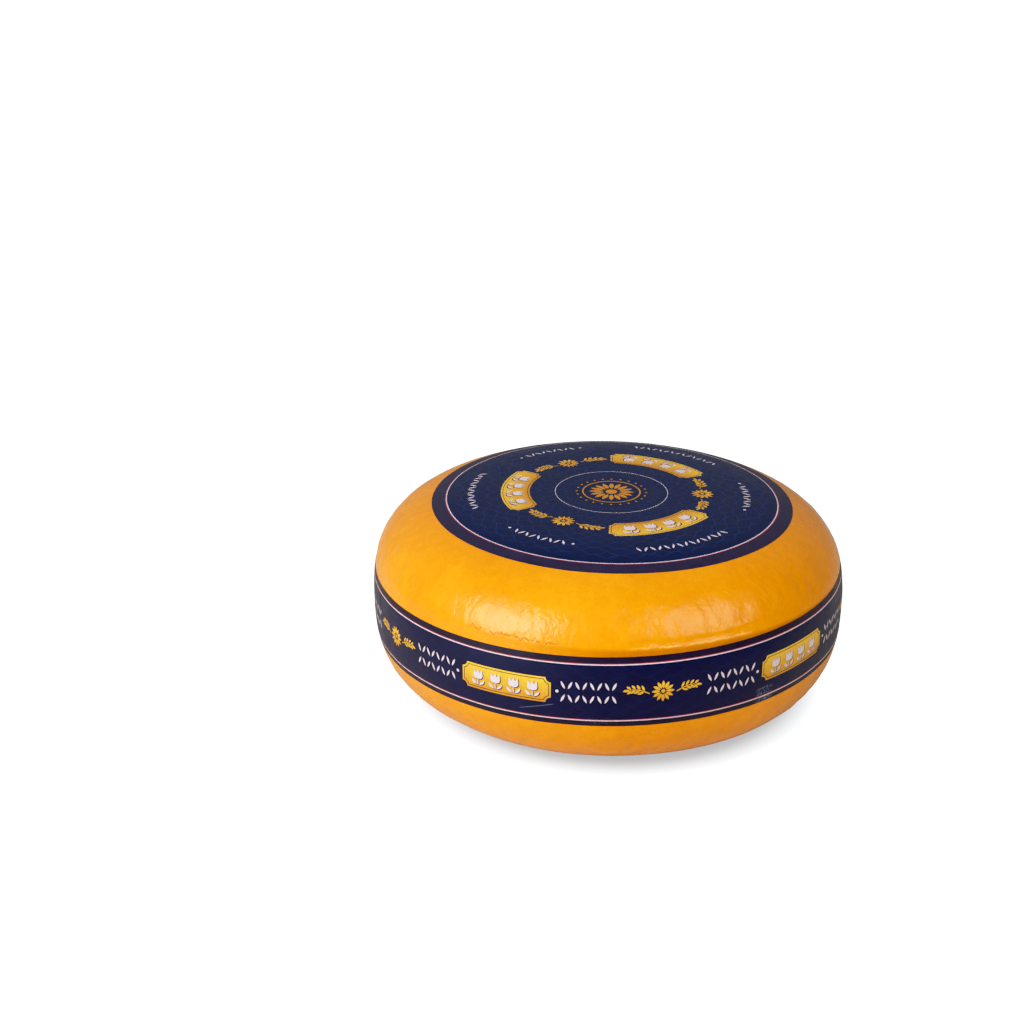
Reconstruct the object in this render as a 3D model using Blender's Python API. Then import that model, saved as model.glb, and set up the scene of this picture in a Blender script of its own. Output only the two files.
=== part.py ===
"""Gouda wheel lying flat: a whole coated cheese with a round face label and a rim band.

The cheese is one solid of revolution.  Its profile is a superellipse, which gives the nearly flat
faces, the full shoulders and the softly bulged side of a pressed and turned wheel.  The face label
is a thin disc draped over the crown, and the rim band a thin belt round the side, a little askew,
as it was put on by hand.  Metres, +Z up, origin at the middle of the face that the wheel rests on.
"""

import math

import bmesh
import bpy
import numpy as np

# --- Driving dimensions ---------------------------------------------------------------------
WHEEL_DIAMETER = 0.2450
WHEEL_HEIGHT = 0.1030          # crown to crown, before the lower crown is pressed flat
SIDE_EXPONENT = 5.3            # how square the profile is across: higher gives flatter faces
CROWN_EXPONENT = 2.77          # and up and down: higher gives a straighter side
REST_FLAT_RADIUS = 0.0730      # the lower crown is flat out to here, where it stands

LABEL_RADIUS = 0.0933
LABEL_CENTRE = (0.0016, 0.0032)    # the label sits slightly off the wheel's middle
BAND_TOP = 0.0190              # band edges, above and below the wheel's middle
BAND_BOTTOM = -0.0164
BAND_SLOPE = (0.0212, -0.0052)     # rise of the band per metre of X and of Y

FILM_THICKNESS = 0.0004
FILM_GAP = 0.0003              # clearance between each printed film and the cheese

# --- Fineness of the facets -----------------------------------------------------------------
TURN_STEPS = 96                # round the wheel
RING_LENGTH = 0.0115           # along the profile a ring comes after this length ...
RING_TURN = math.radians(14)   # ... or this change of slope, the two shares added together
LABEL_STEPS = 72
LABEL_RINGS = 9
BAND_ROWS = 6

# --- Derived sizes --------------------------------------------------------------------------
RADIUS = WHEEL_DIAMETER / 2
HALF_HEIGHT = WHEEL_HEIGHT / 2


def crown_height(radius):
    """Height of the upper surface over the wheel's middle, at a distance from its axis."""
    return HALF_HEIGHT * (1 - (radius / RADIUS) ** SIDE_EXPONENT) ** (1 / CROWN_EXPONENT)


def side_radius(height):
    """Distance of the side from the axis, at a height over or under the wheel's middle."""
    return RADIUS * (1 - (abs(height) / HALF_HEIGHT) ** CROWN_EXPONENT) ** (1 / SIDE_EXPONENT)


MIDDLE_HEIGHT = crown_height(REST_FLAT_RADIUS)      # the wheel's middle over its base


def profile_points():
    """Ring positions (radius, height) from the upper pole to the edge of the flat base."""
    slant = np.linspace(math.pi / 2, -math.pi / 2, 6001)
    radius = RADIUS * np.abs(np.cos(slant)) ** (2 / SIDE_EXPONENT)
    height = HALF_HEIGHT * np.sign(slant) * np.abs(np.sin(slant)) ** (2 / CROWN_EXPONENT)
    kept = height > -MIDDLE_HEIGHT
    radius, height = radius[kept], height[kept]
    radius[0] = 0.0
    step_out, step_up = np.diff(radius), np.diff(height)
    turn = np.abs(np.diff(np.unwrap(np.arctan2(step_up, step_out)), prepend=0.0))
    share = np.hypot(step_out, step_up) / RING_LENGTH + turn / RING_TURN
    travelled = np.concatenate([[0.0], np.cumsum(share)])
    rings = np.linspace(0.0, travelled[-1], round(travelled[-1]) + 1)
    points = list(zip(np.interp(rings, travelled, radius), np.interp(rings, travelled, height)))
    points[-1] = (REST_FLAT_RADIUS, -MIDDLE_HEIGHT)
    return points


def turned_mesh(points, steps, centre=(0.0, 0.0)):
    """Spin a line of (radius, height) points once round an upright axis at the centre."""
    mesh = bmesh.new()
    line = [mesh.verts.new((centre[0] + radius, centre[1], height)) for radius, height in points]
    edges = [mesh.edges.new(pair) for pair in zip(line, line[1:])]
    bmesh.ops.spin(mesh, geom=line + edges, cent=(*centre, 0.0), axis=(0.0, 0.0, 1.0),
                   angle=2 * math.pi, steps=steps, use_merge=True)
    bmesh.ops.remove_doubles(mesh, verts=mesh.verts, dist=1e-7)
    return mesh


def coloured_material(name, colour, roughness):
    """A Principled material with a linear base colour."""
    material = bpy.data.materials.new(name)
    material.use_nodes = True
    shader = material.node_tree.nodes["Principled BSDF"]
    shader.inputs["Base Color"].default_value = (*colour, 1.0)
    shader.inputs["Roughness"].default_value = roughness
    shader.inputs["Metallic"].default_value = 0.0
    return material


def add_piece(name, mesh, material, parent):
    """Put a finished mesh in the scene as one named, smooth-shaded sub-part."""
    data = bpy.data.meshes.new(name)
    mesh.to_mesh(data)
    mesh.free()
    data.shade_smooth()
    data.set_sharp_from_angle(angle=math.radians(30))
    data.materials.append(material)
    piece = bpy.data.objects.new(name, data)
    piece.parent = parent
    bpy.context.scene.collection.objects.link(piece)
    return piece


def add_film_thickness(piece):
    """Thicken a draped surface outwards into a closed skin."""
    skin = piece.modifiers.new("film", "SOLIDIFY")
    skin.thickness = FILM_THICKNESS
    skin.offset = 1.0
    skin.use_even_offset = True


def make_cheese(wheel):
    """The cheese in its coating: the turned profile, closed by the flat it rests on."""
    mesh = turned_mesh(profile_points(), TURN_STEPS)
    rim = [edge for edge in mesh.edges if edge.is_boundary]
    bmesh.ops.contextual_create(mesh, geom=rim)
    bmesh.ops.recalc_face_normals(mesh, faces=mesh.faces)
    coating = coloured_material("yellow_cheese_coating", (0.87, 0.38, 0.018), 0.3)
    add_piece("cheese_wheel", mesh, coating, wheel)


def make_face_label(wheel):
    """The round printed film, draped over the upper crown."""
    line = [(LABEL_RADIUS * ring / LABEL_RINGS, 0.0) for ring in range(LABEL_RINGS + 1)]
    mesh = turned_mesh(line, LABEL_STEPS, LABEL_CENTRE)
    for point in mesh.verts:
        point.co.z = crown_height(math.hypot(point.co.x, point.co.y)) + FILM_GAP
    bmesh.ops.recalc_face_normals(mesh, faces=mesh.faces)
    if sum(face.normal.z for face in mesh.faces) < 0:
        bmesh.ops.reverse_faces(mesh, faces=mesh.faces)
    print_film = coloured_material("navy_label_film", (0.020, 0.028, 0.085), 0.35)
    add_film_thickness(add_piece("face_label", mesh, print_film, wheel))


def make_rim_band(wheel):
    """The printed belt, wrapped round the side and tilted by its slope."""
    drop = (BAND_BOTTOM - BAND_TOP) / BAND_ROWS
    line = [(RADIUS, BAND_TOP + drop * row) for row in range(BAND_ROWS + 1)]
    mesh = turned_mesh(line, TURN_STEPS)
    for point in mesh.verts:
        height = point.co.z + BAND_SLOPE[0] * point.co.x + BAND_SLOPE[1] * point.co.y
        reach = (side_radius(height) + FILM_GAP) / math.hypot(point.co.x, point.co.y)
        point.co = (point.co.x * reach, point.co.y * reach, height)
    mesh.normal_update()
    if sum(face.normal.dot(face.calc_center_median()) for face in mesh.faces) < 0:
        bmesh.ops.reverse_faces(mesh, faces=mesh.faces)
    print_film = coloured_material("navy_band_film", (0.020, 0.028, 0.085), 0.35)
    add_film_thickness(add_piece("rim_band", mesh, print_film, wheel))


def main():
    for leftover in list(bpy.data.objects):
        bpy.data.objects.remove(leftover)
    wheel = bpy.data.objects.new("wheel_middle", None)
    wheel.location.z = MIDDLE_HEIGHT
    bpy.context.scene.collection.objects.link(wheel)
    make_cheese(wheel)
    make_face_label(wheel)
    make_rim_band(wheel)


main()
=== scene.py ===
"""Looks of a whole gouda wheel lying flat: glossy cheese coating, printed face label and rim band.

The coating is one turned body with the lumps, dents and mould seam of the real one.  The label and
the band are thin printed films that follow those lumps, and their print is thin ink of its own.
"""
import math
from functools import partial

import bpy
import numpy as np
from mathutils import Matrix, Vector, noise


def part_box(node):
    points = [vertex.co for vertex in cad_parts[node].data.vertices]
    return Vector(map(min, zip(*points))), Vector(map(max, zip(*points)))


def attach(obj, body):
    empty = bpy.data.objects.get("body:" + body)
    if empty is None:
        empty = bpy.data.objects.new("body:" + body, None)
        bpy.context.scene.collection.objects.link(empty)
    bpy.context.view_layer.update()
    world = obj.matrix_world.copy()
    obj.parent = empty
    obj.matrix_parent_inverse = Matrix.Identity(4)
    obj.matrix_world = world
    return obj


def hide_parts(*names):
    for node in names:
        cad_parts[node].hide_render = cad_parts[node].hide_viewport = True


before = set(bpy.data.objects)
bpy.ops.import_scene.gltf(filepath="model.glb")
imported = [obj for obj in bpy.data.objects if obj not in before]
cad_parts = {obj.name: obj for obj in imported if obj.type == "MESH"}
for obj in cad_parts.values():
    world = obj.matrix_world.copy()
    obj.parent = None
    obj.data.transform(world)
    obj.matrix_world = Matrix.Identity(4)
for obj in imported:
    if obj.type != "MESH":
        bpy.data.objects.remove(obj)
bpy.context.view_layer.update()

bl_info = {
    "name": "Gouda Wheel",
    "version": (1, 0, 0),
    "blender": (4, 5, 0),
    "location": "View3D > Sidebar > Gouda",
    "description": "Builds a coated gouda wheel with its printed label and band",
    "category": "Object",
}

# --- Sizes from the frame, and the profile that the cheese was turned to ---
MM = 0.001
CHEESE_LOW, CHEESE_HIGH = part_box("cheese_wheel")
LABEL_LOW, LABEL_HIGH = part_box("face_label")
RADIUS = (CHEESE_HIGH.x - CHEESE_LOW.x) / 2
SIDE_EXPONENT = 5.3
CROWN_EXPONENT = 2.77
REST_FLAT_RADIUS = 73 * MM
FLAT_SHARE = (1 - (REST_FLAT_RADIUS / RADIUS) ** SIDE_EXPONENT) ** (1 / CROWN_EXPONENT)
HALF_HEIGHT = (CHEESE_HIGH.z - CHEESE_LOW.z) / (1 + FLAT_SHARE)
MIDDLE = HALF_HEIGHT * FLAT_SHARE

LABEL_RADIUS = (LABEL_HIGH.x - LABEL_LOW.x) / 2
LABEL_CENTRE = (LABEL_LOW + LABEL_HIGH) / 2
LABEL_LINE = 86.0 * MM      # radius of the double line near the label's edge
HAIRLINE = (29.0 * MM, 29.3 * MM)   # inner and outer radius of the fine ring inside it
BAND_TOP = 19.0 * MM        # heights on the band are over or under its own middle
BAND_BOTTOM = -16.4 * MM
BAND_SLOPE = Vector((0.0212, -0.0052))
BAND_TOP_LINE = 15.7 * MM   # middle of each double line
BAND_BOTTOM_LINE = -13.1 * MM
BAND_MIDDLE_TURN = math.radians(1.2)
BAND_OVERLAP = 14 * MM      # the band's ends overlap by this at the back
BAND_LENGTH = 2 * math.pi * RADIUS + BAND_OVERLAP
SEAM_UP = 23.7 * MM         # the mould seam runs round the shoulder at this height

FILM_LIFT = 0.13 * MM       # top of a film over the coating
FILM_THICKNESS = 0.08 * MM
INK_STEP = 0.035 * MM       # each layer of ink lies this much over the one before
INK_THICKNESS = 0.02 * MM
LAP_LIFT = 0.16 * MM        # the band's outer end over its inner one
LAP_SLOPE = 6 * MM          # it climbs there over this length

# Relief of the coating: how wide and how high each kind of lump is
BROAD_LUMPS = (52 * MM, 0.17 * MM)
SMALL_LUMPS = (19 * MM, 0.07 * MM)
SHOULDER_LUMPS = (9 * MM, 0.20 * MM)
SHOULDER_STREAKS = (5.2 * MM, 0.30 * MM)
STREAK_SQUASH = 0.36        # heights count this much in a streak, which makes it tall
SHOULDER = (24 * MM, 37 * MM)   # between these heights, over and under the middle

# The mould seam.  The coating swells towards it from above, drops below it and is pinched up
SWELL_HEIGHT = 0.24 * MM
SWELL_REACH = 15 * MM
DROP = (-3.6 * MM, -0.9 * MM)
RIDGE_HEIGHT, RIDGE_WIDTH = 0.26 * MM, 0.4 * MM
DIP_DEPTH, DIP_WIDTH, DIP_ABOVE = 0.22 * MM, 1.2 * MM, 2.2 * MM
SEAM_WAVES = ((3, 0.40 * MM, 2.98), (7, 0.25 * MM, 4.35))    # times round, depth, start
# Marks along it, by angle from the front in degrees; a pinch has its height over it and strength
PINCHES = ((8, 33, -0.3 * MM, 1.0), (31, 37, 4.2 * MM, 0.6), (128, 152, 0.0, 0.8),
           (-121, -96, 0.0, 0.9), (-90, -82, 3.6 * MM, 0.5))
CRACKS = ((-32.5, -10), (88, 117), (-165, -134))
# the ridge along these stretches is a real raised bump with a painted highlight in its colour
RIDGE_HIGHLIGHT_SPANS = ((6, 34), (126, 150), (-122, -97))
SEAM_LIP_SHADE = (-9, 170, 13)      # painted shade under the seam's lip here: from, to, soft edge
RIGHT_SIDE_SHADE = (50, 150, 14)       # and painted shade over the right side, where less light falls

# Marks on the band, by angle and height: ends of the scratch; rubs from, to, low, high, strength
SCRATCH = ((-18.5, -10.1 * MM), (-10.9, -5.9 * MM))
RUBS = ((36.2, 40.4, -16.0 * MM, -8.5 * MM, 0.7), (-3.0, 1.5, -14.5 * MM, -12.5 * MM, 0.3),
        (150, 158, -14 * MM, -7 * MM, 0.25), (-104, -99, 8 * MM, 17 * MM, 0.22))

COATING_SHINE = {"IOR": 1.45, "Specular IOR Level": 0.42}
FILM_SHINE = {"IOR": 1.49, "Specular IOR Level": 0.48}   # printed, it mirrors less than bare

# --- Fineness ---
COAT_STEPS = 120
COAT_LEVELS = 2
RING_LENGTH = 11 * MM
RING_TURN = math.radians(15)
SEAM_RING_LENGTH = 1.1 * MM
SEAM_REACH = 3.5 * MM
FACE_STEPS = 320
FACE_RING = 2.6 * MM
BAND_COLUMNS = 480
BAND_ROWS = 22
FACE_STRIP = 5.0                # mm; the print is cut into such strips, so that it can bend
BAND_STRIP = 3.0


def srgb(code):
    """Linear colour of an sRGB hex value, with an alpha of 1."""
    parts = [int(code[i:i + 2], 16) / 255 for i in (1, 3, 5)]
    return *(p / 12.92 if p <= 0.04045 else ((p + 0.055) / 1.055) ** 2.4 for p in parts), 1.0


# --- The surface that everything follows ---
def crown_height(radius):
    """Height of the upper face over the wheel's middle."""
    return HALF_HEIGHT * (1 - (radius / RADIUS) ** SIDE_EXPONENT) ** (1 / CROWN_EXPONENT)


def side_radius(up):
    """Distance of the side from the axis."""
    return RADIUS * (1 - (abs(up) / HALF_HEIGHT) ** CROWN_EXPONENT) ** (1 / SIDE_EXPONENT)


def outward(place):
    """Unit normal of the turned profile at a place on it."""
    out = math.hypot(place.x, place.y)
    up = place.z - MIDDLE
    across = SIDE_EXPONENT * (out / RADIUS) ** (SIDE_EXPONENT - 1) / RADIUS / max(out, 1e-9)
    rise = CROWN_EXPONENT * (abs(up) / HALF_HEIGHT) ** (CROWN_EXPONENT - 1) / HALF_HEIGHT
    return Vector((place.x * across, place.y * across, math.copysign(rise, up))).normalized()


def ramp(low, high, value):
    """0 at low, 1 at high, eased in between."""
    share = min(1.0, max(0.0, (value - low) / (high - low)))
    return share * share * (3 - 2 * share)


def window(low, high, soft, value):
    """1 between low and high, fading to 0 over the soft width outside them."""
    return ramp(low - soft, low, value) * (1 - ramp(high, high + soft, value))


def lumps(place, kind):
    """Height at a place of lumps that are so wide and so high."""
    width, height = kind
    return height * noise.noise(place / width)


def seam_path(turn):
    """Height of the mould seam at an angle round the wheel: nearly level, with a slight wander."""
    return SEAM_UP + sum(depth * math.sin(times * turn + start)
                         for times, depth, start in SEAM_WAVES)


def seam_relief(turn, up):
    """Height of the swell, the drop and the pinched ridge along the mould seam."""
    over = up - seam_path(turn)
    if not -5 * MM < over < SWELL_REACH:
        return 0.0
    height = SWELL_HEIGHT * (ramp(SWELL_REACH, 0, over) ** 2 if over > 0 else ramp(*DROP, over))
    degrees = math.degrees(turn)
    uneven = noise.noise(Vector((math.cos(turn), math.sin(turn), 4.0)) * 30)
    for start, end, above, strength in PINCHES:
        along = window(start + 2, end - 2, 3, degrees) * strength
        crest = over - above - 0.9 * MM * uneven
        ridge = RIDGE_HEIGHT * (0.8 + 0.7 * uneven) * math.exp(-(crest / RIDGE_WIDTH) ** 2)
        dip = DIP_DEPTH * math.exp(-((crest - DIP_ABOVE) / DIP_WIDTH) ** 2)
        height += along * (ridge - dip)
    return height


def relief(place):
    """Height of the coating over the turned profile at a place."""
    up = place.z - MIDDLE
    height = lumps(place, BROAD_LUMPS) + lumps(place, SMALL_LUMPS)
    shoulder = window(*SHOULDER, 6 * MM, abs(up))
    if shoulder > 0:
        worked = ramp(-0.3, 0.3, noise.noise(place / (30 * MM) + Vector((3, 1, 7))))
        tall = Vector((place.x, place.y, up * STREAK_SQUASH))
        height += shoulder * (lumps(place, SHOULDER_LUMPS) * (0.35 + 0.65 * worked)
                              + lumps(tall, SHOULDER_STREAKS) * worked)
    if up > 0:
        return height + seam_relief(math.atan2(place.x, -place.y), up)
    return height * ramp(REST_FLAT_RADIUS, REST_FLAT_RADIUS + 14 * MM,
                         math.hypot(place.x, place.y))


def cockle(x, y):
    """Height of the face label's short radial puckers near its edge, and of faint ones inside."""
    out = math.hypot(x, y)
    edge = ramp(66 * MM, 90 * MM, out)
    angle = Vector((x / max(out, 1e-6), y / max(out, 1e-6), out / (60 * MM))) * 20
    patch = ramp(0.0, 0.4, noise.noise(Vector((x, y, 0.02)) / (30 * MM)))
    return 0.10 * MM * edge * patch * noise.noise(angle) + lumps(Vector((x, y, 0)),
                                                                 (9 * MM, 0.02 * MM))


def band_cockle(along, up):
    """Height of the slanting pulls and the puckers of the rim band."""
    slant = Vector((along / (16 * MM) + up / (9 * MM), up / (26 * MM), 0.4))
    edge = ramp(10 * MM, 18 * MM, abs(up - (BAND_TOP + BAND_BOTTOM) / 2))
    nick = Vector((along / (5 * MM), up / (14 * MM), 2.0))
    return 0.06 * MM * noise.noise(slant) + 0.04 * MM * edge * noise.noise(nick)


def on_crown(x, y, lift):
    """Place on the face label for a flat layout place measured from the label's centre."""
    across, along = x + LABEL_CENTRE.x, y + LABEL_CENTRE.y
    place = Vector((across, along, MIDDLE + crown_height(math.hypot(across, along))))
    return place + outward(place) * (relief(place) + cockle(x, y) + lift)


def on_side(along, up, lift):
    """Place on the rim band for a distance round it from its middle and a height on it."""
    turn = along / RADIUS + BAND_MIDDLE_TURN
    flat = Vector((math.sin(turn), -math.cos(turn))) * RADIUS
    height = up + BAND_SLOPE.dot(flat)
    flat *= side_radius(height) / RADIUS
    place = Vector((flat.x, flat.y, MIDDLE + height))
    lap_start = math.pi * RADIUS - BAND_OVERLAP / 2
    lap = LAP_LIFT * ramp(lap_start - LAP_SLOPE, lap_start, along)
    return place + outward(place) * (relief(place) + band_cockle(along, up) + lift + lap)


FACE = (on_crown, "face_print")     # how a flat piece is laid there, and a slot name
BAND = (on_side, "band_print")


# --- Small tools ---
def deselect():
    if bpy.context.object and bpy.context.object.mode != "OBJECT":
        bpy.ops.object.mode_set(mode="OBJECT")
    bpy.ops.object.select_all(action="DESELECT")


def make_active(piece):
    deselect()
    piece.select_set(True)
    bpy.context.view_layer.objects.active = piece


def edit_all():
    """Open the active piece in edit mode, with all of it selected."""
    bpy.ops.object.mode_set(mode="EDIT")
    bpy.ops.mesh.select_mode(type="FACE")
    bpy.ops.mesh.select_all(action="SELECT")


def end_edit():
    """Turn the faces all the same way, outwards on a body, and leave edit mode."""
    bpy.ops.mesh.select_all(action="SELECT")
    bpy.ops.mesh.normals_make_consistent(inside=False)
    bpy.ops.object.mode_set(mode="OBJECT")


def new_circle(radius, steps, fill_type="NGON"):
    """A flat circle round the origin, filled with one face or left open."""
    deselect()
    bpy.ops.mesh.primitive_circle_add(vertices=steps, radius=radius, fill_type=fill_type)
    return bpy.context.object


def apply_modifier(piece, name, kind, **settings):
    """Add one modifier with its settings and apply it."""
    make_active(piece)
    modifier = piece.modifiers.new(name, kind)
    for key, value in settings.items():
        setattr(modifier, key, value)
    bpy.ops.object.modifier_apply(modifier=name)


def move_points(piece, where):
    """Move each vertex to where(x, y, z)."""
    places = np.empty(len(piece.data.vertices) * 3, np.float32)
    piece.data.vertices.foreach_get("co", places)
    moved = [where(*place) for place in places.reshape(-1, 3).astype(float)]
    piece.data.vertices.foreach_set("co", np.array(moved, np.float32).ravel())
    piece.data.update()


def face_up(piece):
    """Turn the faces of a flat piece upwards."""
    if sum(face.normal.z * face.area for face in piece.data.polygons) < 0:
        piece.data.flip_normals()


def finish_piece(piece, name, slot, material, *replaced, smooth_below=40):
    """Smooth a piece but for its sharp edges, name and dress it, and hang it on the frame."""
    make_active(piece)
    bpy.ops.object.shade_smooth_by_angle(angle=math.radians(smooth_below))
    piece.name = piece.data.name = name
    piece.data.materials.clear()
    piece.data.materials.append(material)
    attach(piece, "root")
    if replaced:
        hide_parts(*replaced)


def lay_sheet(piece, film, layer, name, material, *replaced):
    """Lay a flat piece over the cheese, thicken it down from its face and finish it.

    The film itself is layer 0, and its inks are 1 and up.
    """
    laid, slot = film
    move_points(piece, lambda x, y, z: laid(x, y, FILM_LIFT + layer * INK_STEP))
    apply_modifier(piece, "thickness", "SOLIDIFY", offset=-1.0,
                   thickness=INK_THICKNESS if layer else FILM_THICKNESS)
    finish_piece(piece, name, slot, material, *replaced)


def fill_sockets(node, sockets):
    """Set each of a node's inputs to its value, or link it to another node's output in use."""
    for socket, value in sockets.items():
        if isinstance(value, bpy.types.Node):
            value = next(output for output in value.outputs if not output.is_unavailable)
        if isinstance(value, bpy.types.NodeSocket):
            node.id_data.links.new(value, node.inputs[socket])
        else:
            node.inputs[socket].default_value = value


def add_node(tree, kind, *values, **settings):
    """Add a shader node, named by its kind and, where it has one, its operation.

    The values go to its inputs in use, in their order.  A setting with a capital letter goes to
    the input of that name, and any other setting is a property of the node.
    """
    kind, *operation = kind.split()
    node = tree.nodes.new("ShaderNode" + kind)
    if operation:
        node.operation = operation[0]
    named = {key: value for key, value in settings.items() if key[0].isupper()}
    for key in settings.keys() - named.keys():
        setattr(node, key, settings[key])
    in_use = [place for place, socket in enumerate(node.inputs) if not socket.is_unavailable]
    fill_sockets(node, {**dict(zip(in_use, values)), **named})
    return node


def new_material(name):
    """A Principled material, the function that adds nodes to it, and its shader."""
    material = bpy.data.materials.new(name)
    material.use_nodes = True
    tree = material.node_tree
    return material, partial(add_node, tree), tree.nodes["Principled BSDF"]


# --- Materials ---
def round_the_wheel(add):
    """A surface place, and its angle round the wheel from the front in degrees."""
    place = add("TexCoord").outputs["Object"]
    parts = add("SeparateXYZ", place).outputs
    front = add("Math MULTIPLY", parts["Y"], -1.0)
    turn = add("Math ARCTAN2", parts["X"], front)
    return place, add("Math DEGREES", turn)


def stretch_of(add, value, start, end, soft):
    """1 while a value is between start and end, fading over the soft width at each."""
    rise = add("MapRange", value, start - soft, start + soft)
    fall = add("MapRange", value, end - soft, end + soft, 1.0, 0.0)
    return add("Math MULTIPLY", rise, fall)


def seam_line(add, degrees, up, stretches, above, depth, width):
    """1 on a fine broken zigzag that follows the mould seam for some stretches, 0 elsewhere."""
    turn = add("Math RADIANS", degrees)
    path = SEAM_UP + above - depth / 2
    for times, sway, start in SEAM_WAVES:
        wave = add("Math SINE", add("Math MULTIPLY_ADD", turn, times, start))
        path = add("Math MULTIPLY_ADD", wave, sway, path)
    jagged = add("TexNoise", W=degrees, Scale=0.60, Detail=3.0, Roughness=0.75,
                 noise_dimensions="1D")
    zigzag = add("Math MULTIPLY_ADD", jagged, depth, path)
    away = add("Math ABSOLUTE", add("Math SUBTRACT", up, zigzag))
    line = add("MapRange", away, width * 0.2, width, 1.0, 0.0)
    gaps = add("TexNoise", W=degrees, Scale=0.31, Detail=2.0, noise_dimensions="1D")
    kept = add("MapRange", gaps, 0.38, 0.48)
    there = 0.0
    for start, end in stretches:
        there = add("Math ADD", there, stretch_of(add, degrees, start, end, 1.0))
    broken = add("Math MULTIPLY", there, kept)
    return add("Math MULTIPLY", broken, line)


def cheese_coating(look):
    """Polyvinyl acetate cheese coating, sponged on wet over the rind and dried.

    It gives an even egg-yolk yellow with a clear gloss, broken by the crinkles that it dried to.
    """
    material, add, shader = new_material("polyvinyl_acetate_cheese_coating")
    place, degrees = round_the_wheel(add)
    up = add("Math SUBTRACT", add("SeparateXYZ", place).outputs["Z"], MIDDLE)
    cloud = add("TexNoise", place, Scale=1 / (42 * MM), Detail=4.0, Roughness=0.6)
    fleck = add("TexNoise", place, Scale=1 / (1.6 * MM), Detail=3.0, Roughness=0.6)
    tone = add("MapRange", cloud, 0.35, 0.65)
    # Painted shade: the strip under the seam's lip is darkened at the front and right
    under = stretch_of(add, up, BAND_TOP - 3 * MM, SEAM_UP - 0.9 * MM, 0.9 * MM)
    painted_shade = add("Math MULTIPLY", under, stretch_of(add, degrees, *SEAM_LIP_SHADE))
    # Painted shade: the right side, where less light falls, is darkened as well
    right_side_shade = add("Math MULTIPLY", stretch_of(add, degrees, *RIGHT_SIDE_SHADE), 0.34)
    painted_shade = add("Math MAXIMUM", painted_shade, right_side_shade)
    cracks = seam_line(add, degrees, up, CRACKS, 0, 6.0 * MM, 0.27 * MM)
    # The seam's raised ridge: a real bump, and a lighter colour on it that is a painted highlight
    ridge_and_highlight = seam_line(add, degrees, up, RIDGE_HIGHLIGHT_SPANS, 0.1 * MM, 1.8 * MM, 0.48 * MM)
    colour = look.colour
    for share, over in ((tone, look.deep_colour), (painted_shade, look.painted_shade_colour),
                        (add("Math MULTIPLY", cracks, 0.6), look.crack_colour),
                        (add("Math MULTIPLY", ridge_and_highlight, 0.65), look.ridge_highlight_colour)):
        colour = add("Mix", share, colour, over, data_type="RGBA")
    blotch = add("TexNoise", place, Scale=1 / (6 * MM), Detail=2.0)
    broad = add("MapRange", blotch, 0.3, 0.7, 0.96, 1.04)
    fine = add("MapRange", fleck, 0.3, 0.7, 0.95, 1.03)
    shade = add("Math MULTIPLY", broad, fine)
    flecked = add("VectorMath SCALE", colour, shade)
    gloss = add("MapRange", cloud, 0.3, 0.7, look.roughness - 0.03, look.roughness + 0.05)

    worked = add("TexNoise", place, Scale=1 / (24 * MM), Detail=1.0)
    where = add("MapRange", worked, 0.40, 0.60, 0.75, 1.0)
    upright = add("VectorMath MULTIPLY", place, (1.0, 1.0, 0.5))
    knuckle = add("TexNoise", upright, Scale=1 / (4.0 * MM), Detail=2.0, Distortion=0.2)
    leather = add("TexNoise", place, Scale=1 / (1.7 * MM), Detail=3.0,
                  Roughness=0.55, Distortion=0.3)
    normal = add("Bump", Height=knuckle, Strength=where, Distance=look.crinkle)
    for height, strength, depth, dug in ((leather, where, 0.13, False), (fleck, 0.6, 0.03, False),
                                         (cracks, 1.0, 0.15, True), (ridge_and_highlight, 1.0, 0.12, False)):
        normal = add("Bump", Height=height, Strength=strength, Distance=depth * MM,
                     Normal=normal, invert=dug)
    fill_sockets(shader, {"Base Color": flecked, "Roughness": gloss, "Normal": normal,
                          **COATING_SHINE})
    return material


def woven_lines(add, across, degrees, times, sway, spacing, width):
    """1 on two sets of fine waving lines that cross each other, 0 between them."""
    wave = add("Math SINE", add("Math MULTIPLY", degrees, math.radians(times)))
    lines = 0.0
    for way in (sway, -sway):
        swung = add("Math MULTIPLY_ADD", wave, way, across)
        step = add("Math PINGPONG", swung, spacing / 2)
        lines = add("Math MAXIMUM", lines, add("MapRange", step, width * 0.7, width * 0.3))
    return lines


def finish_film(add, shader, place, colour, marks, look):
    """Give a film its mottled colour and satin gloss, scuffed pale and dull where marks are."""
    mottle = add("TexNoise", place, Scale=1 / (7 * MM), Detail=5.0, Roughness=0.65)
    shade = add("MapRange", mottle, 0.3, 0.7, 0.8, 1.2)
    mottled = add("VectorMath SCALE", colour, shade)
    scuffed = add("Mix", marks, mottled, look.scuff, data_type="RGBA")
    gloss = add("MapRange", mottle, 0.3, 0.7, look.roughness - 0.06, look.roughness + 0.08)
    dull = add("Math MULTIPLY_ADD", marks, 0.3, gloss)
    fine = add("TexNoise", place, Scale=1 / (1.4 * MM), Detail=4.0, Roughness=0.6)
    bump = add("Bump", Height=fine, Strength=0.5, Distance=0.03 * MM)
    fill_sockets(shader, {"Base Color": scuffed, "Roughness": dull, "Normal": bump, **FILM_SHINE})


def label_reach(add, place):
    """Distance from the label's centre."""
    centred = add("VectorMath SUBTRACT", place, LABEL_CENTRE)
    flat = add("VectorMath MULTIPLY", centred, (1.0, 1.0, 0.0))
    return add("VectorMath LENGTH", flat)


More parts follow.
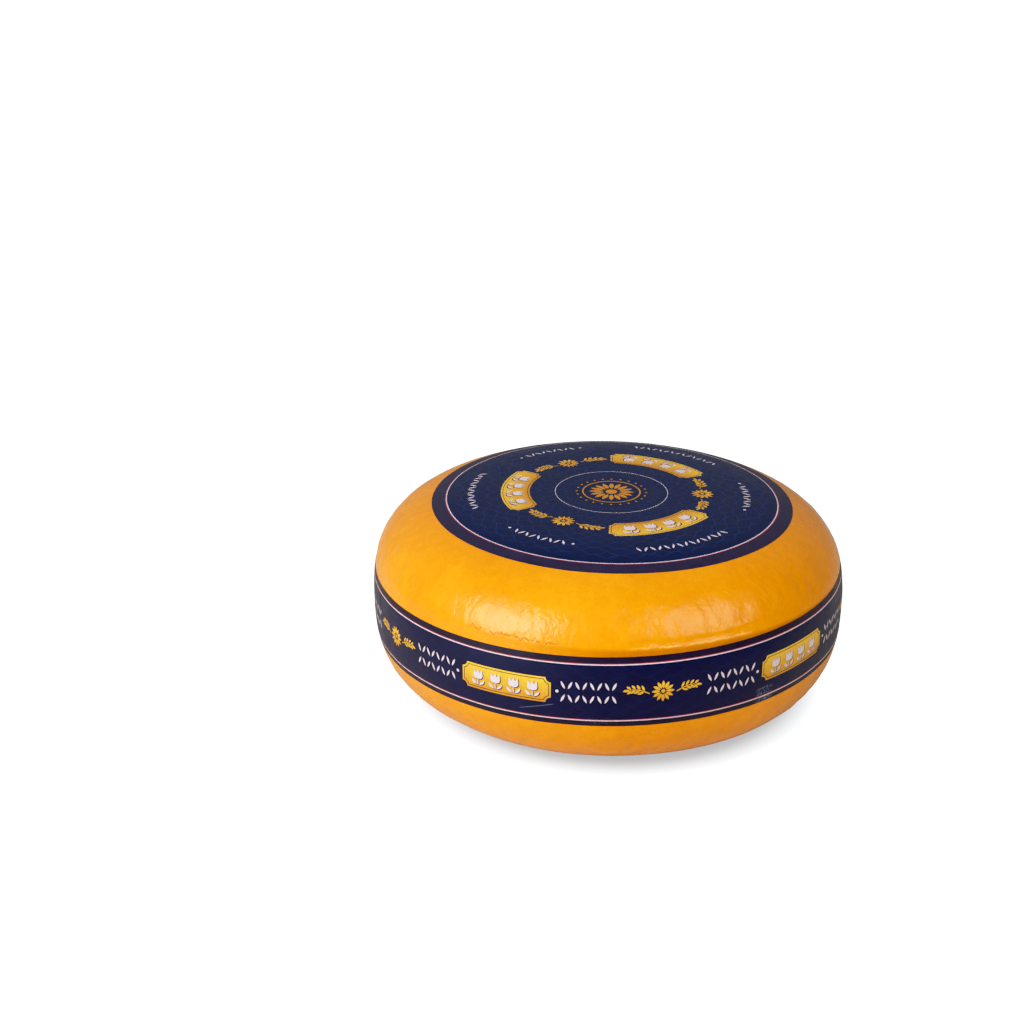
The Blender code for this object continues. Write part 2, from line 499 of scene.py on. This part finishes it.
def label_film(look):
    """Oriented polypropylene film, printed on the inside, draped over the crown.

    It gives a dark navy field with a satin gloss, and faint lines woven in a lighter navy.
    """
    material, add, shader = new_material("printed_polypropylene_label")
    place, degrees = round_the_wheel(add)
    out = label_reach(add, place)
    woven = woven_lines(add, out, degrees, 18, 3.4 * MM, 6.8 * MM, 0.55 * MM)
    inside = stretch_of(add, out, 21 * MM, 81 * MM, 0.5 * MM)
    faint = add("Math MULTIPLY", woven, inside)
    field = add("Mix", faint, look.label_field, look.woven, data_type="RGBA")
    outside = add("Math GREATER_THAN", out, LABEL_LINE)
    colour = add("Mix", outside, field, look.margin, data_type="RGBA")
    finish_film(add, shader, place, colour, 0.0, look)
    return material


def band_scuffs(add, place, degrees, level):
    """1 along the hairline scratch and over the rubbed patches near the band's edges."""
    (start, low), (end, high) = SCRATCH
    slope = (high - low) / (end - start)
    line = add("Math MULTIPLY_ADD", degrees, -slope, level)
    away = add("Math ABSOLUTE", add("Math SUBTRACT", line, low - slope * start))
    thin = add("MapRange", away, 0.08 * MM, 0.22 * MM, 1.0, 0.0)
    scratch = add("Math MULTIPLY", thin, stretch_of(add, degrees, start, end, 0.3))
    grit = add("TexNoise", place, Scale=1 / (1.3 * MM), Detail=3.0, Roughness=0.7)
    speck = add("MapRange", grit, 0.50, 0.62)
    marks = add("Math MULTIPLY", scratch, 0.45)
    for start, end, low, high, strength in RUBS:
        beside = stretch_of(add, degrees, start, end, 0.8)
        between = stretch_of(add, level, low, high, 0.8 * MM)
        patch = add("Math MULTIPLY", add("Math MULTIPLY", beside, between), speck)
        marks = add("Math MULTIPLY_ADD", patch, strength, marks)
    return marks


def band_level(add, place):
    """Height over the band's own middle, which is tilted a little."""
    tilted = add("VectorMath DOT_PRODUCT", place, (-BAND_SLOPE.x, -BAND_SLOPE.y, 1.0))
    return add("Math SUBTRACT", tilted, MIDDLE)


def band_film(look):
    """Oriented polypropylene film, printed on the inside, drawn tight round the side.

    It gives a dark navy field with a satin gloss, a little scratched and rubbed from handling.
    """
    material, add, shader = new_material("printed_polypropylene_band")
    place, degrees = round_the_wheel(add)
    level = band_level(add, place)
    woven = woven_lines(add, level, degrees, 30, 3.0 * MM, 6.0 * MM, 0.5 * MM)
    faint = add("Math MULTIPLY", woven, 0.12)
    field = add("Mix", faint, look.field, look.woven, data_type="RGBA")
    between = stretch_of(add, level, BAND_BOTTOM_LINE, BAND_TOP_LINE, 0.05 * MM)
    colour = add("Mix", between, look.band_margin, field, data_type="RGBA")
    finish_film(add, shader, place, colour, band_scuffs(add, place, degrees, level), look)
    return material


def printing_ink(name, look, colour, low_colour=None, level=None, span=None):
    """Flexographic ink under the film's gloss: flat and a little mottled, or a shaded tone."""
    material, add, shader = new_material(name)
    place = add("TexCoord").outputs["Object"]
    mottle = add("TexNoise", place, Scale=1 / (1.5 * MM), Detail=3.0)
    shade = add("MapRange", mottle, 0.3, 0.7, 0.88, 1.04)
    tone = colour[:3]
    if low_colour:
        share = add("MapRange", level(add, place), *span)
        tone = add("Mix", share, low_colour, colour, data_type="RGBA")
    inked = add("VectorMath SCALE", tone, shade)
    fill_sockets(shader, {"Base Color": inked, "Roughness": look.roughness, **FILM_SHINE})
    return material


# --- Coated cheese ---
def profile_rings():
    """Ring places (radius, height over the middle) from the base up to the crown."""
    slant = np.linspace(-math.pi / 2, math.pi / 2, 8001)
    radius = RADIUS * np.abs(np.cos(slant)) ** (2 / SIDE_EXPONENT)
    height = HALF_HEIGHT * np.sign(slant) * np.abs(np.sin(slant)) ** (2 / CROWN_EXPONENT)
    kept = (height > -MIDDLE) & (radius > 4 * MM)
    radius, height = radius[kept], height[kept]
    step_out, step_up = np.diff(radius), np.diff(height)
    turn = np.abs(np.diff(np.unwrap(np.arctan2(step_up, step_out)), prepend=0.0))
    turn[0] = 0.0
    seam = np.exp(-((height[1:] - SEAM_UP) / SEAM_REACH) ** 2)
    share = np.hypot(step_out, step_up) * (1 / RING_LENGTH + seam / SEAM_RING_LENGTH)
    travelled = np.concatenate([[0.0], np.cumsum(share + turn / RING_TURN)])
    rings = np.linspace(0.0, travelled[-1], round(travelled[-1]) + 1)
    return list(zip(np.interp(rings, travelled, radius), np.interp(rings, travelled, height)))


def settle_on_profile(x, y, z):
    """Move a point along its ray from the middle onto the turned profile, and add the relief."""
    up, out = z - MIDDLE, math.hypot(x, y)
    if z < 0.02 * MM and out < REST_FLAT_RADIUS + 1 * MM:
        return Vector((x, y, 0.0))
    scale = 1.0
    for _ in range(6):
        side = (scale * out / RADIUS) ** SIDE_EXPONENT
        rise = (scale * abs(up) / HALF_HEIGHT) ** CROWN_EXPONENT
        scale -= (side + rise - 1) * scale / (SIDE_EXPONENT * side + CROWN_EXPONENT * rise)
    place = Vector((x * scale, y * scale, MIDDLE + up * scale))
    place += outward(place) * relief(place)
    place.z = max(place.z, 0.0)
    return place


class GOUDA_OT_coated_cheese(bpy.types.Operator):
    """Turn the cheese in its coating, with its lumps, dents and mould seam"""
    bl_idname = "gouda.coated_cheese"
    bl_label = "Coated Cheese"

    def execute(self, context):
        rings = profile_rings()
        body = new_circle(rings[0][0], COAT_STEPS)
        edit_all()
        for (inner, low), (outer, high) in zip(rings, rings[1:]):
            bpy.ops.mesh.extrude_region_move(
                TRANSFORM_OT_translate={"value": (0, 0, high - low)})
            wider = outer / inner
            bpy.ops.transform.resize(value=(wider, wider, 1),
                                     center_override=(0, 0, MIDDLE + high))
        end_edit()
        apply_modifier(body, "rounding", "SUBSURF", levels=COAT_LEVELS,
                       render_levels=COAT_LEVELS)
        move_points(body, settle_on_profile)
        finish_piece(body, "coated_cheese", "coating", cheese_coating(context.scene.gouda_coating),
                     "cheese_wheel", smooth_below=50)
        return {"FINISHED"}


# --- Printed films ---
class GOUDA_OT_face_film(bpy.types.Operator):
    """Lay the round printed film on the upper face"""
    bl_idname = "gouda.face_film"
    bl_label = "Face Label Film"

    def execute(self, context):
        film = new_circle(LABEL_RADIUS, FACE_STEPS)
        edit_all()
        for _ in range(int(LABEL_RADIUS / FACE_RING) - 1):
            bpy.ops.mesh.inset(thickness=FACE_RING)
        bpy.ops.object.mode_set(mode="OBJECT")
        material = label_film(context.scene.gouda_print)
        lay_sheet(film, FACE, 0, "face_film", material, "face_label")
        return {"FINISHED"}


def flat_strip(length, width, middle_up, columns, rows):
    """A flat grid, length along X and width along Y, its middle at the given height."""
    deselect()
    bpy.ops.mesh.primitive_grid_add(x_subdivisions=columns, y_subdivisions=rows, size=1,
                                    location=(0, middle_up, 0))
    strip = bpy.context.object
    strip.scale = (length, width, 1)
    bpy.ops.object.transform_apply()
    return strip


class GOUDA_OT_rim_film(bpy.types.Operator):
    """Wrap the printed film round the side, its ends overlapping at the back"""
    bl_idname = "gouda.rim_film"
    bl_label = "Rim Band Film"

    def execute(self, context):
        film = flat_strip(BAND_LENGTH, BAND_TOP - BAND_BOTTOM, (BAND_TOP + BAND_BOTTOM) / 2,
                          BAND_COLUMNS, BAND_ROWS)
        material = band_film(context.scene.gouda_print)
        lay_sheet(film, BAND, 0, "rim_film", material, "rim_band")
        return {"FINISHED"}


# --- Printed motifs, laid out flat in millimetres ---
def turned(outline, degrees):
    cosine, sine = math.cos(math.radians(degrees)), math.sin(math.radians(degrees))
    return [(x * cosine - y * sine, x * sine + y * cosine) for x, y in outline]


def moved(outline, across, up):
    return [(x + across, y + up) for x, y in outline]


def bent(outline, radius, degrees):
    """Bend a flat outline round the label's centre: its X runs clockwise and its Y outwards."""
    start = math.radians(degrees)
    return [((radius + y) * math.sin(start + x / radius),
             (radius + y) * math.cos(start + x / radius)) for x, y in close_points(outline)]


def close_points(outline, step=2.5):
    """The same outline with points added along its long edges."""
    points = []
    for (x, y), (next_x, next_y) in zip(outline, outline[1:] + outline[:1]):
        parts = max(1, math.ceil(math.hypot(next_x - x, next_y - y) / step))
        points += [(x + (next_x - x) * part / parts, y + (next_y - y) * part / parts)
                   for part in range(parts)]
    return points


def each(change, outlines, *how):
    """Turn, move or bend several outlines alike."""
    return [change(outline, *how) for outline in outlines]


def circle(radius, steps=24):
    return [(radius * math.cos(2 * math.pi * step / steps),
             radius * math.sin(2 * math.pi * step / steps)) for step in range(steps)]


def blade(length, width, bow=0.0, steps=8):
    """A leaf that stands on the origin: pointed at both ends, and bowed sideways."""
    along = [step / steps for step in range(steps + 1)]
    side = [(bow * 4 * t * (1 - t), width / 2 * math.sin(math.pi * t) ** 0.8, length * t)
            for t in along]
    return ([(middle + half, y) for middle, half, y in side]
            + [(middle - half, y) for middle, half, y in side[-2:0:-1]])


def plate(width, height, scoop, inset=0.0, steps=6):
    """A plate with scooped corners, its edge moved in by the inset."""
    reach = scoop + inset
    begin = math.asin(inset / reach)
    turns = [begin + (math.pi / 2 - 2 * begin) * step / steps for step in range(steps + 1)]
    corner = [(width / 2 - reach * math.cos(turn), height / 2 - reach * math.sin(turn))
              for turn in turns]
    back = corner[::-1]
    return (corner + [(x, -y) for x, y in back] + [(-x, -y) for x, y in corner]
            + [(-x, y) for x, y in back])


TULIP_HALF = ((0.0, 0.0), (0.27, 0.03), (0.44, 0.15), (0.50, 0.34), (0.49, 0.58), (0.44, 0.97),
              (0.31, 0.78), (0.19, 0.62), (0.09, 0.80), (0.0, 1.0))


def tulip(height):
    """A tulip on a short stem between two leaves, standing on the origin."""
    head, stem = 0.64 * height, 0.36 * height
    half = [(x * head, y * head + stem) for x, y in TULIP_HALF]
    outlines = [half + [(-x, y) for x, y in half[-2:0:-1]],
                [(-0.28, 0), (0.28, 0), (0.22, stem - 0.15), (-0.22, stem - 0.15)]]
    for side in (-1, 1):
        leaf = blade(height * 0.50, height * 0.15, bow=side * height * 0.05)
        outlines.append(moved(turned(leaf, -48 * side), side * 0.55, 0))
    return outlines


def tulip_row(count, pitch, height):
    return [moved(outline, (place - (count - 1) / 2) * pitch, -height / 2)
            for place in range(count) for outline in tulip(height)]


def rosette(petals, inner, length, width):
    return [turned(moved(blade(length, width), 0, inner), 360 * petal / petals)
            for petal in range(petals)]


def sprig(length, rise, pairs, leaf):
    """A stem that bows up from the origin along +X, with pairs of leaves and one at its tip."""
    def stem(t):
        return length * t, rise * math.sin(1.9 * t)

    def slope(t):
        return math.degrees(math.atan2(rise * 1.9 * math.cos(1.9 * t), length))

    line = [stem(step / 12) for step in range(13)]
    outlines = [[(x, y + 0.30 - 0.015 * x) for x, y in line]
                + [(x, y - 0.30 + 0.015 * x) for x, y in line[::-1]]]
    for pair in range(1, pairs + 1):
        t = pair / (pairs + 0.4)
        for side in (-1, 1):
            grown = moved(blade(leaf * (1.1 - 0.35 * t), leaf * 0.36), 0, 0.55)
            outlines.append(moved(turned(grown, slope(t) - 90 + side * 40), *stem(t)))
    tip = turned(moved(blade(leaf, leaf * 0.38), 0, 0.3), slope(1) - 90)
    return outlines + [moved(tip, *stem(1))]


def spray(petals, stems):
    """A small rosette between two sprigs."""
    return petals + stems + [[(-x, y) for x, y in outline] for outline in stems]


def grain_rows(columns, pitch, ups):
    """Rows of barley grains that lean left and right in turn."""
    return [moved(turned(moved(blade(4.4, 1.15), 0, -2.2), 26 * (-1) ** (column + row)),
                  (column - (columns - 1) / 2) * pitch, up)
            for row, up in enumerate(ups) for column in range(columns)]


def gold_plate(width, height):
    """A plate with a fine slit just inside its edge."""
    return [plate(width, height, 2.6), plate(width, height, 2.6, 0.9),
            plate(width, height, 2.6, 1.25)]


FACE_PLATES = (30, 150, 270)        # degrees clockwise from the back
FACE_SPRIGS = (90, 210, 330)
PLATE_RADIUS = 50                   # mm from the label's centre
SPRIG_RADIUS = 47
FACE_AMBER_TO_GOLD = (42 * MM, 58 * MM)     # the gold lightens outwards over these radii


def face_gold():
    outlines = rosette(16, 4.2, 7.6, 2.5) + [circle(3.0), circle(15.2, 64), circle(14.5, 64)]
    outlines += [turned(moved(circle(0.6, 10), 0, 18), 15 * step) for step in range(24)]
    for degrees in FACE_PLATES:
        outlines += each(bent, gold_plate(54, 15), PLATE_RADIUS, degrees)
    sprigs = spray(rosette(12, 1.5, 4.4, 1.6) + [circle(1.0, 14)],
                   each(moved, sprig(11, 2.6, 4, 3.9), 7.0, -0.5))
    for degrees in FACE_SPRIGS:
        outlines += each(bent, sprigs, SPRIG_RADIUS, degrees)
    return outlines


def face_white():
    outlines = []
    tulips = each(turned, tulip_row(4, 11, 9.2), 180)
    for degrees in FACE_PLATES:
        outlines += each(bent, tulips, PLATE_RADIUS, degrees)
        outlines += each(bent, grain_rows(15, 3.5, (0,)), 73, degrees)
    grains = grain_rows(9, 3.4, (0,)) + [moved(circle(0.8, 10), side, 0) for side in (-18.5, 18.5)]
    for degrees in FACE_SPRIGS:
        outlines += each(bent, grains, 70, degrees)
    return outlines


def face_plum():
    """The shadow that sets the white tulips off from their gold plates."""
    shadows = each(turned, each(moved, tulip_row(4, 11, 9.2), 0.45, -0.40), 180)
    return [bent(outline, PLATE_RADIUS, degrees) for degrees in FACE_PLATES for outline in shadows]


BAND_REPEATS = 5
BAND_REPEAT = 150.0                 # mm; the blank rest of the band is where its ends overlap
PRINT_START = -350.0
PRINT_UP = 1.3
BAND_AMBER_TO_GOLD = ((PRINT_UP - 7) * MM, (PRINT_UP + 6) * MM)     # and upwards here


def band_gold():
    sprigs = spray(rosette(12, 1.4, 4.0, 1.5) + [circle(0.95, 14)],
                   each(moved, sprig(9.0, 2.4, 4, 3.2), 6.4, -0.8))
    return gold_plate(46, 13) + each(moved, sprigs, BAND_REPEAT / 2, 0)


def band_white():
    outlines = tulip_row(4, 9.4, 8.0)
    for side in (-1, 1):
        middle = BAND_REPEAT / 2 + side * 34.5
        outlines += each(moved, grain_rows(8, 3.4, (3.4, -3.4)), middle, 0)
        outlines.append(moved(circle(0.8, 10), middle + side * 14.6, 0))
    return outlines


def band_plum():
    return each(moved, tulip_row(4, 9.4, 8.0), 0.4, -0.35)


def filled(outlines, strip):
    """Fill flat outlines as a curve does, make it a mesh, and cut it into narrow strips."""
    curve = bpy.data.curves.new("outline", "CURVE")
    curve.dimensions = "2D"
    curve.fill_mode = "BOTH"
    for outline in outlines:
        spline = curve.splines.new("POLY")
        spline.points.add(len(outline) - 1)
        spline.points.foreach_set("co", [value for x, y in outline for value in (x, y, 0, 1)])
        spline.use_cyclic_u = True
    piece = bpy.data.objects.new("outline", curve)
    bpy.context.scene.collection.objects.link(piece)
    make_active(piece)
    bpy.ops.object.convert(target="MESH")
    piece = bpy.context.object
    edit_all()
    reach = np.array([point for outline in outlines for point in outline])
    for axis, normal in enumerate(((1, 0, 0), (0, 1, 0))):
        for cut in np.arange(reach[:, axis].min() + strip, reach[:, axis].max(), strip):
            bpy.ops.mesh.select_all(action="SELECT")
            bpy.ops.mesh.bisect(plane_co=[cut * value for value in normal], plane_no=normal)
    bpy.ops.object.mode_set(mode="OBJECT")
    face_up(piece)
    return piece


class GOUDA_OT_face_print(bpy.types.Operator):
    """Print the gold plates, sprigs and rosette, the white tulips and the grains on the label"""
    bl_idname = "gouda.face_print"
    bl_label = "Face Label Print"

    def execute(self, context):
        look = context.scene.gouda_print
        for layer, (tone, motifs, *shading) in enumerate((
                ("gold", face_gold, look.amber, label_reach, FACE_AMBER_TO_GOLD),
                ("plum", face_plum), ("white", face_white)), 1):
            piece = filled(motifs(), FACE_STRIP)
            move_points(piece, lambda x, y, z: (x * MM, y * MM, 0))
            ink = printing_ink(f"{tone}_ink_on_label", look, getattr(look, tone), *shading)
            lay_sheet(piece, FACE, layer, f"face_{tone}", ink)
        return {"FINISHED"}


class GOUDA_OT_band_print(bpy.types.Operator):
    """Print the gold plates and rosettes, the white tulips and the grains on the band"""
    bl_idname = "gouda.band_print"
    bl_label = "Rim Band Print"

    def execute(self, context):
        look = context.scene.gouda_print
        for layer, (tone, motifs, *shading) in enumerate((
                ("gold", band_gold, look.amber, band_level, BAND_AMBER_TO_GOLD),
                ("plum", band_plum), ("white", band_white)), 1):
            piece = filled(motifs(), BAND_STRIP)
            apply_modifier(piece, "repeats", "ARRAY", count=BAND_REPEATS,
                           use_relative_offset=False, use_constant_offset=True,
                           constant_offset_displace=(BAND_REPEAT, 0, 0))
            move_points(piece, lambda x, y, z: ((x + PRINT_START) * MM, (y + PRINT_UP) * MM, 0))
            ink = printing_ink(f"{tone}_ink_on_band", look, getattr(look, tone), *shading)
            lay_sheet(piece, BAND, layer, f"band_{tone}", ink)
        return {"FINISHED"}


# --- Double lines ---
def flat_ring(inner, outer, steps):
    """A flat ring: a circle extruded outwards."""
    ring = new_circle(inner, steps, "NOTHING")
    edit_all()
    bpy.ops.mesh.extrude_edges_move()
    bpy.ops.transform.resize(value=(outer / inner, outer / inner, 1), center_override=(0, 0, 0))
    end_edit()
    face_up(ring)
    return ring


class GOUDA_OT_fine_lines(bpy.types.Operator):
    """Print the red and white double lines and the label's inner hairline"""
    bl_idname = "gouda.fine_lines"
    bl_label = "Fine Lines"

    def execute(self, context):
        look = context.scene.gouda_print
        red = printing_ink("red_ink", look, look.red)
        white = printing_ink("white_ink", look, look.white)
        for name, ink, inner, outer in (
                ("face_red_line", red, LABEL_LINE, LABEL_LINE + look.red_width),
                ("face_white_line", white, LABEL_LINE - look.white_width, LABEL_LINE),
                ("face_inner_hairline", white, *HAIRLINE)):
            lay_sheet(flat_ring(inner, outer, 2 * FACE_STEPS), FACE, 1, name, ink)
        for edge, up in (("upper", BAND_TOP_LINE), ("lower", BAND_BOTTOM_LINE)):
            for colour, ink, width, side in (("red", red, look.red_width, 1),
                                             ("white", white, look.white_width, -1)):
                line = flat_strip(BAND_LENGTH, width, up + side * width / 2,
                                  2 * BAND_COLUMNS, 1)
                lay_sheet(line, BAND, 1, f"band_{edge}_{colour}_line", ink)
        return {"FINISHED"}


# --- Stage ---
CAMERA_AWAY = 6.9108 * RADIUS      # camera to the wheel's middle
CAMERA_ELEVATION = math.radians(25.01)
CAMERA_ROLL = math.radians(-1.432)
FRAME_SIZE = 1024                  # the photograph's width and height, in pixels
FOCAL_LENGTH = 1591.8              # its lens and the wheel's middle in it, in the same
MIDDLE_PIXEL = (606.1, 584.2)
SENSOR = 36.0
LIGHT_AWAY = 1.5
FLOOR_RADIUS = 30
FLOOR_STEPS = 96
SHADOW_MIDDLE = (4 * MM, 0, 0)     # the painted soft shadow round the wheel's foot, and its radii
SHADOW_REACH = (93.5 * MM, 115.5 * MM)
CREVICE_WIDTH = 18 * MM            # painted shade: the floor's glow darkens over this width towards the resting flat


def photograph_camera(context):
    """The camera that sees the wheel as the photograph does."""
    data = bpy.data.cameras.new("photograph_camera")
    data.sensor_width = SENSOR
    data.lens = FOCAL_LENGTH * SENSOR / FRAME_SIZE
    back = Vector((0, -math.cos(CAMERA_ELEVATION), math.sin(CAMERA_ELEVATION)))
    right = Vector((1, 0, 0))
    level = Matrix((right, back.cross(right), back))
    centre = FRAME_SIZE / 2
    aim = Vector((MIDDLE_PIXEL[0] - centre, centre - MIDDLE_PIXEL[1], -FOCAL_LENGTH))
    off_centre = Vector((0, 0, -1)).rotation_difference(aim).to_matrix()
    rolled = off_centre @ Matrix.Rotation(CAMERA_ROLL, 3, "Z") @ level
    camera = bpy.data.objects.new("photograph_camera", data)
    place = Vector((0, 0, MIDDLE)) + back * CAMERA_AWAY
    camera.matrix_world = Matrix.Translation(place) @ rolled.transposed().to_4x4()
    context.scene.collection.objects.link(camera)
    context.scene.camera = camera


def soft_box(context, name, azimuth, elevation, size, power):
    """A rectangular studio light that faces the wheel, brightest in its middle."""
    data = bpy.data.lights.new(name, "AREA")
    data.shape = "RECTANGLE"
    data.size, data.size_y = size
    data.energy = power
    data.use_nodes = True
    add = partial(add_node, data.node_tree)
    spot = add("TexCoord").outputs["UV"]
    reach = add("VectorMath LENGTH", add("VectorMath SUBTRACT", spot, (0.5, 0.5, 0)))
    fall = add("MapRange", reach, 0.22, 0.62, 1.60, 0.15, interpolation_type="SMOOTHSTEP")
    fill_sockets(data.node_tree.nodes["Emission"], {"Strength": fall})
    light = bpy.data.objects.new(name, data)
    turn, rise = math.radians(azimuth), math.radians(elevation)
    towards = Vector((math.sin(turn) * math.cos(rise), -math.cos(turn) * math.cos(rise),
                      math.sin(rise)))
    light.location = Vector((0, 0, MIDDLE)) + towards * LIGHT_AWAY
    light.rotation_euler = towards.to_track_quat("Z", "Y").to_euler()
    context.scene.collection.objects.link(light)


def acrylic_sweep(stage):
    """White acrylic floor of a studio that glows to the camera alone, with painted shade round it.

    It gives a ground that is white to the camera; its glow is turned down into a painted soft
    shadow round the wheel's foot, and into painted shade under the wheel's edge.
    """
    material, add, shader = new_material("white_acrylic_sweep")
    place = add("TexCoord").outputs["Object"]
    away = add("VectorMath LENGTH", add("VectorMath SUBTRACT", place, SHADOW_MIDDLE))
    # Painted soft shadow: the glow is turned down round the wheel's foot
    glow = add("MapRange", away, *SHADOW_REACH, stage.shadow_glow, stage.floor_glow,
               interpolation_type="SMOOTHSTEP")
    inwards = add("VectorMath LENGTH", place)
    # Painted shade under the wheel's edge: the glow is turned down towards the resting flat
    crevice = add("MapRange", inwards, REST_FLAT_RADIUS, REST_FLAT_RADIUS + CREVICE_WIDTH, 0.35)
    lit = add("Math MULTIPLY", glow, crevice)
    ray = add("LightPath").outputs["Is Camera Ray"]
    seen = add("Math MULTIPLY", lit, ray)
    share = add("MapRange", ray, 0.0, 1.0, 1.0, stage.tint_share)
    ground = add("VectorMath SCALE", stage.floor[:3], share)
    fill_sockets(shader, {"Base Color": ground, "Emission Color": stage.glow,
                          "Emission Strength": seen, "Roughness": 0.6})
    return material


def photograph_tones(view, stage):
    """Show the darkest and the brightest tones as the photograph does."""
    view.view_transform = "Standard"
    view.use_curve_mapping = True
    tones = view.curve_mapping
    tones.black_level = (stage.black_level,) * 3
    tones.curves[3].points[1].location = (1.0, stage.shoulder)
    for level in (0.35, 0.70):
        tones.curves[3].points.new(level, level * 1.01)
    tones.update()


class GOUDA_OT_stage(bpy.types.Operator):
    """Set the pale floor, the studio lights and the photograph's camera"""
    bl_idname = "gouda.stage"
    bl_label = "Stage"

    def execute(self, context):
        stage = context.scene.gouda_stage
        photograph_tones(context.scene.view_settings, stage)
        world = context.scene.world or bpy.data.worlds.new("studio")
        context.scene.world = world
        world.use_nodes = True
        fill_sockets(world.node_tree.nodes["Background"],
                     {"Color": stage.surround, "Strength": stage.surround_strength})
        floor = new_circle(FLOOR_RADIUS, FLOOR_STEPS)
        floor.name = floor.data.name = "floor"
        floor.data.materials.append(acrylic_sweep(stage))
        soft_box(context, "left_soft_box", -48, 30, (1.1, 1.25), stage.left_power)
        soft_box(context, "right_soft_box", 50, 40, (1.1, 1.15), stage.right_power)
        photograph_camera(context)
        return {"FINISHED"}


# --- Settings ---
def colour_setting(name, description, code):
    return bpy.props.FloatVectorProperty(name=name, description=description, subtype="COLOR",
                                         size=4, min=0, max=1, default=srgb(code))


def number_setting(name, description, default, **limits):
    return bpy.props.FloatProperty(name=name, description=description, default=default, min=0,
                                   **limits)


class GoudaCoating(bpy.types.PropertyGroup):
    colour: colour_setting("Coating", "Main colour of the cheese coating", "#EE991E")
    deep_colour: colour_setting("Deeper coating", "Where the coating lies thicker", "#E7901A")
    # Painted shade: the darker tone under the seam's lip and over the right side
    painted_shade_colour: colour_setting("Pooled coating", "Where it ran under the mould seam", "#C27209")
    # Painted highlight on the seam's raised ridge
    ridge_highlight_colour: colour_setting("Flake", "Raised lip of the coating along the seam", "#F6BC58")
    crack_colour: colour_setting("Crack", "Inside the fine cracks along the seam", "#8E5E0C")
    roughness: number_setting("Roughness", "Gloss of the coating", 0.20, max=1, subtype="FACTOR")
    crinkle: number_setting("Crinkle depth", "Of the folds that the coating dried to", 0.42 * MM,
                            subtype="DISTANCE")


class GoudaPrint(bpy.types.PropertyGroup):
    label_field: colour_setting("Label field", "Printed ground of the label", "#101B42")
    field: colour_setting("Band field", "Printed ground of the band", "#060C38")
    woven: colour_setting("Woven lines", "Faint lines in the ground", "#1C2A5C")
    margin: colour_setting("Label margin", "Ground outside the label's double line", "#2C2640")
    band_margin: colour_setting("Band margin", "Ground outside the band's lines", "#1A122C")
    red: colour_setting("Red line", "Outer part of each double line", "#94283F")
    white: colour_setting("White", "Inner part of each double line, and white print", "#D8CAD2")
    gold: colour_setting("Gold", "Light tone of the gold print", "#ECBE3C")
    amber: colour_setting("Amber", "Deep tone of the gold print", "#CA8822")
    plum: colour_setting("Plum", "Shadow beside the white print on gold", "#3A0C2C")
    scuff: colour_setting("Scuff", "Rubbed and scratched film", "#8A90AE")
    roughness: number_setting("Roughness", "Gloss of the printed film", 0.38, max=1,
                              subtype="FACTOR")
    red_width: number_setting("Red line width", "Of each double line's outer part", 0.46 * MM,
                              subtype="DISTANCE")
    white_width: number_setting("White line width", "Of each double line's inner part",
                                0.54 * MM, subtype="DISTANCE")


class GoudaStage(bpy.types.PropertyGroup):
    floor: colour_setting("Floor", "Colour of the floor as it lights the wheel", "#D3CBBB")
    tint_share: number_setting("Tint share", "How much of the wheel's tint shows on it", 0.3,
                               max=1, subtype="FACTOR")
    glow: colour_setting("Glow", "Cool enough to cancel the tint that is left", "#F4FAFF")
    floor_glow: number_setting("Floor glow", "Whitens the floor, as a cut-out picture is", 1.25)
    # Painted shadow: the floor's lower glow round the wheel's foot
    shadow_glow: number_setting("Shadow glow", "The same under the edge of the wheel", 0.485)
    surround: colour_setting("Surroundings", "Colour of the room", "#FFFFFF")
    surround_strength: number_setting("Room light", "Brightness of the room", 0.335)
    left_power: number_setting("Left light", "Power of the left soft box", 23.7, unit="POWER")
    right_power: number_setting("Right light", "Power of the right soft box", 9.3, unit="POWER")
    black_level: number_setting("Black level", "Scene brightness that is shown as black", 0.0235,
                                max=0.1)
    shoulder: number_setting("Shoulder", "How bright a full white shows, as on film", 0.90,
                             max=1)


class GOUDA_PT_wheel(bpy.types.Panel):
    """Lists the wheel's pieces and their settings"""
    bl_idname = "GOUDA_PT_wheel"
    bl_label = "Gouda Wheel"
    bl_space_type = "VIEW_3D"
    bl_region_type = "UI"
    bl_category = "Gouda"

    def draw(self, context):
        for group in GROUPS:
            box = self.layout.box()
            settings = getattr(context.scene, group)
            for key in settings.__annotations__:
                box.prop(settings, key)
        for operator in OPERATORS:
            self.layout.operator(operator.bl_idname)


OPERATORS = (GOUDA_OT_coated_cheese, GOUDA_OT_face_film, GOUDA_OT_rim_film,
             GOUDA_OT_fine_lines, GOUDA_OT_face_print, GOUDA_OT_band_print, GOUDA_OT_stage)
GROUPS = {"gouda_coating": GoudaCoating, "gouda_print": GoudaPrint, "gouda_stage": GoudaStage}


def register():
    for group_name, group in GROUPS.items():
        bpy.utils.register_class(group)
        setattr(bpy.types.Scene, group_name, bpy.props.PointerProperty(type=group))
    for cls in (*OPERATORS, GOUDA_PT_wheel):
        bpy.utils.register_class(cls)


def unregister():
    for cls in (GOUDA_PT_wheel, *reversed(OPERATORS)):
        bpy.utils.unregister_class(cls)
    for group_name, group in GROUPS.items():
        delattr(bpy.types.Scene, group_name)
        bpy.utils.unregister_class(group)


def main():
    register()
    for operator in OPERATORS:
        area, name = operator.bl_idname.split(".")
        getattr(getattr(bpy.ops, area), name)()


if __name__ == "__main__":
    main()
